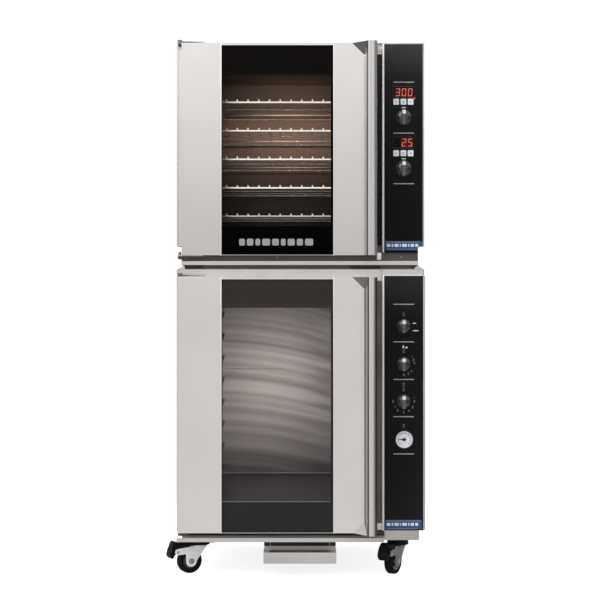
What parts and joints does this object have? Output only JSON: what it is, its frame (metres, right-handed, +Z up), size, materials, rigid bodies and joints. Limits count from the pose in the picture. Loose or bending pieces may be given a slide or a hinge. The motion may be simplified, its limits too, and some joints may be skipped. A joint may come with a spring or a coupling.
{
  "type": "convection oven and prover stack",
  "caption": "Upright electric convection oven with a glazed side-hinged door, stacked on a taller glazed prover cabinet that stands on swivel casters.",
  "frame": {"origin": "on the floor, under the centre of the cabinet's footprint", "axes": "+X towards the control column, -Y towards the front (door side), +Z up"},
  "size_m": [0.7928, 0.81, 1.588],
  "materials": {
    "stainless": "brushed",
    "door_stainless": "brushed",
    "dark_steel": "satin",
    "enamel": "gloss",
    "liner_steel": "brushed",
    "galvanised": "matt",
    "chrome_wire": "polished",
    "element": "matt",
    "motor": "matt",
    "black_panel": "gloss",
    "black_plastic": "matt",
    "display": "gloss",
    "button": "satin",
    "dial": "gloss",
    "needle_black": "matt",
    "glass": "polished",
    "black_frame": "satin",
    "handle_steel": "satin",
    "zinc": "satin",
    "caster_black": "satin",
    "wheel_rubber": "matt",
    "seal": "matt"
  },
  "bodies": {
    "cabinet": {"prover_base": "stainless", "prover_casing": "stainless", "back_covers": "galvanised", "prover_front_frame": "stainless", "prover_liner": "liner_steel", "prover_tray_runners": "liner_steel", "prover_rear_panel": "liner_steel", "water_pan": "stainless", "heating_elements": "element", "fan_motors": "motor", "prover_fascia": "black_panel", "thermometer": "dial", "caster_plates": "caster_black", "stacking_frame": "dark_steel", "oven_base": "dark_steel", "oven_casing": "stainless", "oven_front_frame": "stainless", "oven_liner": "enamel", "oven_side_racks": "chrome_wire", "wire_racks": "chrome_wire", "oven_fan_baffle": "enamel", "oven_fascia": "black_panel", "oven_displays": "display", "door_hinges": "dark_steel", "door_seals": "seal"},
    "oven_door": {"oven_door_frame": "door_stainless", "oven_door_glass": "glass", "oven_door_liner": "black_frame", "oven_door_handle": "handle_steel"},
    "prover_door": {"prover_door_frame": "door_stainless", "prover_door_glass": "glass", "prover_door_liner": "black_frame", "prover_door_handle": "handle_steel"},
    "tray": {"drip_tray": "stainless"},
    "prover_mode_knob_body": {"prover_mode_knob": "black_plastic"},
    "prover_heat_knob_body": {"prover_heat_knob": "black_plastic"},
    "prover_humidity_knob_body": {"prover_humidity_knob": "black_plastic"},
    "oven_temperature_knob_body": {"oven_temperature_knob": "black_plastic"},
    "oven_timer_knob_body": {"oven_timer_knob": "black_plastic"},
    "needle": {"thermometer_needle": "needle_black"},
    "temperature_button_1_body": {"temperature_button_1": "button"},
    "temperature_button_2_body": {"temperature_button_2": "button"},
    "temperature_button_3_body": {"temperature_button_3": "button"},
    "timer_button_1_body": {"timer_button_1": "button"},
    "timer_button_2_body": {"timer_button_2": "button"},
    "timer_button_3_body": {"timer_button_3": "button"},
    "oven_fan_wheel": {"oven_fan": "galvanised"},
    "prover_fan_wheel": {"prover_fan": "galvanised"},
    "front_left_caster": {"front_left_fork": "zinc"},
    "front_left_roller": {"front_left_wheel": "wheel_rubber"},
    "front_left_pedal": {"front_left_brake": "caster_black"},
    "front_right_caster": {"front_right_fork": "zinc"},
    "front_right_roller": {"front_right_wheel": "wheel_rubber"},
    "front_right_pedal": {"front_right_brake": "caster_black"},
    "rear_left_caster": {"rear_left_fork": "zinc"},
    "rear_left_roller": {"rear_left_wheel": "wheel_rubber"},
    "rear_left_pedal": {"rear_left_brake": "caster_black"},
    "rear_right_caster": {"rear_right_fork": "zinc"},
    "rear_right_roller": {"rear_right_wheel": "wheel_rubber"},
    "rear_right_pedal": {"rear_right_brake": "caster_black"}
  },
  "joints": [
    {"name": "oven_door_swing", "type": "hinge", "parent": "cabinet", "child": "oven_door", "pos_m": [-0.3565, -0.319, 1.265], "axis": [0, 0, -1], "range_deg": [0, 130]},
    {"name": "prover_door_swing", "type": "hinge", "parent": "cabinet", "child": "prover_door", "pos_m": [-0.3565, -0.319, 0.51], "axis": [0, 0, -1], "range_deg": [0, 130]},
    {"name": "drip_tray_slide", "type": "slide", "parent": "cabinet", "child": "tray", "axis": [0, -1, 0], "range_m": [0, 0.17]},
    {"name": "prover_mode_knob_turn", "type": "hinge", "parent": "cabinet", "child": "prover_mode_knob_body", "pos_m": [0.3066, -0.298, 0.742], "axis": [0, 1, 0], "range_deg": [0, 90]},
    {"name": "prover_heat_knob_turn", "type": "hinge", "parent": "cabinet", "child": "prover_heat_knob_body", "pos_m": [0.3066, -0.298, 0.6294], "axis": [0, 1, 0], "range_deg": [0, 270]},
    {"name": "prover_humidity_knob_turn", "type": "hinge", "parent": "cabinet", "child": "prover_humidity_knob_body", "pos_m": [0.3066, -0.298, 0.5181], "axis": [0, 1, 0], "range_deg": [0, 270]},
    {"name": "oven_temperature_knob_turn", "type": "hinge", "parent": "cabinet", "child": "oven_temperature_knob_body", "pos_m": [0.3066, -0.298, 1.362], "axis": [0, 1, 0], "continuous": true},
    {"name": "oven_timer_knob_turn", "type": "hinge", "parent": "cabinet", "child": "oven_timer_knob_body", "pos_m": [0.3066, -0.298, 1.21], "axis": [0, 1, 0], "continuous": true},
    {"name": "needle_turn", "type": "hinge", "parent": "cabinet", "child": "needle", "pos_m": [0.308, -0.298, 0.4054], "axis": [0, 1, 0], "range_deg": [-45, 225]},
    {"name": "temperature_button_1_press", "type": "slide", "parent": "cabinet", "child": "temperature_button_1_body", "axis": [0, 1, 0], "range_m": [0, 0.0015], "stiffness_N_per_m": 900, "springref_m": -0.0008},
    {"name": "temperature_button_2_press", "type": "slide", "parent": "cabinet", "child": "temperature_button_2_body", "axis": [0, 1, 0], "range_m": [0, 0.0015], "stiffness_N_per_m": 900, "springref_m": -0.0008},
    {"name": "temperature_button_3_press", "type": "slide", "parent": "cabinet", "child": "temperature_button_3_body", "axis": [0, 1, 0], "range_m": [0, 0.0015], "stiffness_N_per_m": 900, "springref_m": -0.0008},
    {"name": "timer_button_1_press", "type": "slide", "parent": "cabinet", "child": "timer_button_1_body", "axis": [0, 1, 0], "range_m": [0, 0.0015], "stiffness_N_per_m": 900, "springref_m": -0.0008},
    {"name": "timer_button_2_press", "type": "slide", "parent": "cabinet", "child": "timer_button_2_body", "axis": [0, 1, 0], "range_m": [0, 0.0015], "stiffness_N_per_m": 900, "springref_m": -0.0008},
    {"name": "timer_button_3_press", "type": "slide", "parent": "cabinet", "child": "timer_button_3_body", "axis": [0, 1, 0], "range_m": [0, 0.0015], "stiffness_N_per_m": 900, "springref_m": -0.0008},
    {"name": "oven_fan_spin", "type": "hinge", "parent": "cabinet", "child": "oven_fan_wheel", "pos_m": [0.2, 0.04, 1.28], "axis": [1, 0, 0], "continuous": true},
    {"name": "prover_fan_spin", "type": "hinge", "parent": "cabinet", "child": "prover_fan_wheel", "pos_m": [0.23, 0.06, 0.48], "axis": [1, 0, 0], "continuous": true},
    {"name": "front_left_swivel", "type": "hinge", "parent": "cabinet", "child": "front_left_caster", "pos_m": [-0.305, -0.23, 0.09], "axis": [0, 0, 1], "continuous": true},
    {"name": "front_left_roll", "type": "hinge", "parent": "front_left_caster", "child": "front_left_roller", "pos_m": [-0.33351, -0.24453, 0.0375], "axis": [0.454, -0.891, 0], "continuous": true},
    {"name": "front_left_brake_press", "type": "hinge", "parent": "front_left_caster", "child": "front_left_pedal", "pos_m": [-0.37272, -0.2645, 0.067], "axis": [0.454, -0.891, 0], "range_deg": [0, 12]},
    {"name": "front_right_swivel", "type": "hinge", "parent": "cabinet", "child": "front_right_caster", "pos_m": [0.293, -0.23, 0.09], "axis": [0, 0, 1], "continuous": true},
    {"name": "front_right_roll", "type": "hinge", "parent": "front_right_caster", "child": "front_right_roller", "pos_m": [0.277, -0.25771, 0.0375], "axis": [0.866, -0.5, 0], "continuous": true},
    {"name": "front_right_brake_press", "type": "hinge", "parent": "front_right_caster", "child": "front_right_pedal", "pos_m": [0.255, -0.29582, 0.067], "axis": [0.866, -0.5, 0], "range_deg": [0, 12]},
    {"name": "rear_left_swivel", "type": "hinge", "parent": "cabinet", "child": "rear_left_caster", "pos_m": [-0.305, 0.337, 0.09], "axis": [0, 0, 1], "continuous": true},
    {"name": "rear_left_roll", "type": "hinge", "parent": "rear_left_caster", "child": "rear_left_roller", "pos_m": [-0.29406, 0.30693, 0.0375], "axis": [0.9397, 0.342, 0], "continuous": true},
    {"name": "rear_left_brake_press", "type": "hinge", "parent": "rear_left_caster", "child": "rear_left_pedal", "pos_m": [-0.27901, 0.26558, 0.067], "axis": [0.9397, 0.342, 0], "range_deg": [0, 12]},
    {"name": "rear_right_swivel", "type": "hinge", "parent": "cabinet", "child": "rear_right_caster", "pos_m": [0.293, 0.337, 0.09], "axis": [0, 0, 1], "continuous": true},
    {"name": "rear_right_roll", "type": "hinge", "parent": "rear_right_caster", "child": "rear_right_roller", "pos_m": [0.32071, 0.321, 0.0375], "axis": [0.5, 0.866, 0], "continuous": true},
    {"name": "rear_right_brake_press", "type": "hinge", "parent": "rear_right_caster", "child": "rear_right_pedal", "pos_m": [0.35882, 0.299, 0.067], "axis": [0.5, 0.866, 0], "range_deg": [0, 12]}
  ]
}
